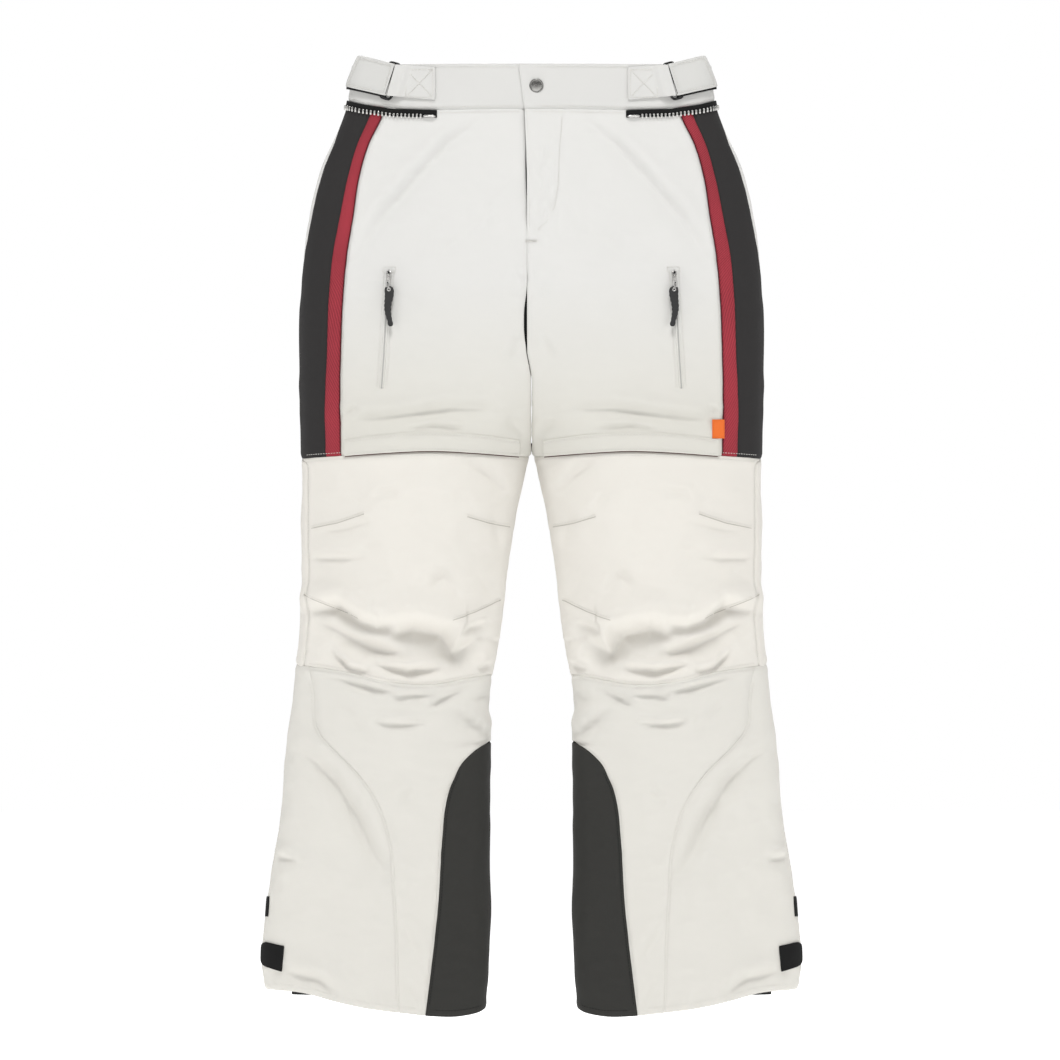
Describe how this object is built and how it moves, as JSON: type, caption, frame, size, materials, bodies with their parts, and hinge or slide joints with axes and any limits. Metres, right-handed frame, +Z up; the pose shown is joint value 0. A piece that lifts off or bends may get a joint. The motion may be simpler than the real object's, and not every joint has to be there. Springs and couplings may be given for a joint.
{
  "type": "ski pants",
  "caption": "Insulated ski trousers with zip-off lower legs, side stripes, front fly, zipped hand pockets, waist straps and scuff guards.",
  "frame": {"origin": "centre of the waist opening at the waistband's top edge", "axes": "+Z up, front faces -Y, the wearer's left leg is on +X"},
  "size_m": [0.607, 0.1516, 1.0727],
  "materials": {
    "ivory_shell": "matte woven softshell",
    "charcoal_shell": "matte woven stretch fabric",
    "guard_fabric": "matte abrasion-resistant coated weave",
    "red_twill": "woven twill tape",
    "lining": "soft knit lining and pocketing",
    "black_webbing": "woven tape and hook-and-loop",
    "gaiter_fabric": "coated nylon",
    "zip_metal": "polished zip teeth",
    "black_metal": "black coated zip and ring metal",
    "snap_metal": "satin nickel",
    "black_rubber": "moulded puller grip",
    "orange_label": "woven label"
  },
  "bodies": {
    "garment": {"waistband_front_left": "ivory_shell", "waistband_front_right": "ivory_shell", "waistband_back": "ivory_shell", "hanger_loops": "black_webbing", "fly_underlap": "ivory_shell", "fly_zip": "black_metal", "snap_stud": "snap_metal", "jacket_zip_tape": "black_webbing", "jacket_zip_teeth": "zip_metal", "side_label": "orange_label", "back_panel_left": "ivory_shell", "front_panel_left": "ivory_shell", "side_panel_left": "charcoal_shell", "side_stripe_left": "red_twill", "pocket_zip_left": "black_webbing", "pocket_bag_left": "lining", "waist_tab_left": "ivory_shell", "waist_ring_left": "black_metal", "thigh_flap_left": "ivory_shell", "leg_zip_upper_left": "black_webbing", "back_panel_right": "ivory_shell", "front_panel_right": "ivory_shell", "side_panel_right": "charcoal_shell", "side_stripe_right": "red_twill", "pocket_zip_right": "black_webbing", "pocket_bag_right": "lining", "waist_tab_right": "ivory_shell", "waist_ring_right": "black_metal", "thigh_flap_right": "ivory_shell", "leg_zip_upper_right": "black_webbing"},
    "fly_lapel": {"fly_flap": "ivory_shell", "waistband_overlap": "ivory_shell", "snap_cap": "snap_metal"},
    "fly_slider": {"fly_slider": "black_metal", "fly_puller": "black_metal"},
    "pocket_slider_left": {"pocket_slider_left": "zip_metal"},
    "pocket_puller_left": {"pocket_puller_left": "black_rubber"},
    "waist_strap_left": {"waist_strap_left": "ivory_shell"},
    "lower_leg_left": {"leg_zip_lower_left": "black_webbing", "knee_front_left": "ivory_shell", "knee_back_left": "ivory_shell"},
    "shin_left": {"calf_front_left": "ivory_shell", "calf_side_left": "ivory_shell", "calf_back_left": "ivory_shell", "scuff_guard_left": "guard_fabric", "snow_gaiter_left": "gaiter_fabric"},
    "ankle_tab_left": {"ankle_tab_left": "black_webbing"},
    "pocket_slider_right": {"pocket_slider_right": "zip_metal"},
    "pocket_puller_right": {"pocket_puller_right": "black_rubber"},
    "waist_strap_right": {"waist_strap_right": "ivory_shell"},
    "lower_leg_right": {"leg_zip_lower_right": "black_webbing", "knee_front_right": "ivory_shell", "knee_back_right": "ivory_shell"},
    "shin_right": {"calf_front_right": "ivory_shell", "calf_side_right": "ivory_shell", "calf_back_right": "ivory_shell", "scuff_guard_right": "guard_fabric", "snow_gaiter_right": "gaiter_fabric"},
    "ankle_tab_right": {"ankle_tab_right": "black_webbing"}
  },
  "joints": [
    {"name": "fly_fold", "type": "hinge", "parent": "garment", "child": "fly_lapel", "pos_m": [0.017, -0.0572, -0.093], "axis": [0.2397, 0.0583, 0.9691], "range_deg": [0, 100]},
    {"name": "fly_slide", "type": "slide", "parent": "garment", "child": "fly_slider", "axis": [0, -0.0663, -0.9978], "range_m": [0, 0.09]},
    {"name": "pocket_slide_left", "type": "slide", "parent": "garment", "child": "pocket_slider_left", "axis": [0.0644, -0.0765, -0.995], "range_m": [0, 0.11]},
    {"name": "pocket_puller_swing_left", "type": "hinge", "parent": "pocket_slider_left", "child": "pocket_puller_left", "pos_m": [0.159, -0.05697, -0.2438], "axis": [-1, 0, 0], "range_deg": [0, 150]},
    {"name": "waist_strap_peel_left", "type": "hinge", "parent": "garment", "child": "waist_strap_left", "pos_m": [0.1565, -0.0405, -0.017], "axis": [0.28, 0, -0.96], "range_deg": [0, 110]},
    {"name": "leg_zip_off_left", "type": "slide", "parent": "garment", "child": "lower_leg_left", "axis": [0, 0, -1], "range_m": [0, 0.06]},
    {"name": "knee_bend_left", "type": "hinge", "parent": "lower_leg_left", "child": "shin_left", "pos_m": [0.14, -0.006, -0.56], "axis": [1, 0, 0], "range_deg": [0, 70], "deforming": ["knee_front_left", "knee_back_left"]},
    {"name": "ankle_tab_peel_left", "type": "hinge", "parent": "shin_left", "child": "ankle_tab_left", "pos_m": [0.3045, -0.0005, -0.995], "axis": [0, 0, 1], "range_deg": [0, 100]},
    {"name": "pocket_slide_right", "type": "slide", "parent": "garment", "child": "pocket_slider_right", "axis": [-0.0644, -0.0765, -0.995], "range_m": [0, 0.11]},
    {"name": "pocket_puller_swing_right", "type": "hinge", "parent": "pocket_slider_right", "child": "pocket_puller_right", "pos_m": [-0.159, -0.05697, -0.2438], "axis": [-1, 0, 0], "range_deg": [0, 150]},
    {"name": "waist_strap_peel_right", "type": "hinge", "parent": "garment", "child": "waist_strap_right", "pos_m": [-0.1565, -0.0405, -0.017], "axis": [0.28, 0, 0.96], "range_deg": [0, 110]},
    {"name": "leg_zip_off_right", "type": "slide", "parent": "garment", "child": "lower_leg_right", "axis": [0, 0, -1], "range_m": [0, 0.06]},
    {"name": "knee_bend_right", "type": "hinge", "parent": "lower_leg_right", "child": "shin_right", "pos_m": [-0.14, -0.006, -0.56], "axis": [1, 0, 0], "range_deg": [0, 70], "deforming": ["knee_front_right", "knee_back_right"]},
    {"name": "ankle_tab_peel_right", "type": "hinge", "parent": "shin_right", "child": "ankle_tab_right", "pos_m": [-0.3045, -0.0005, -0.995], "axis": [0, 0, -1], "range_deg": [0, 100]}
  ]
}
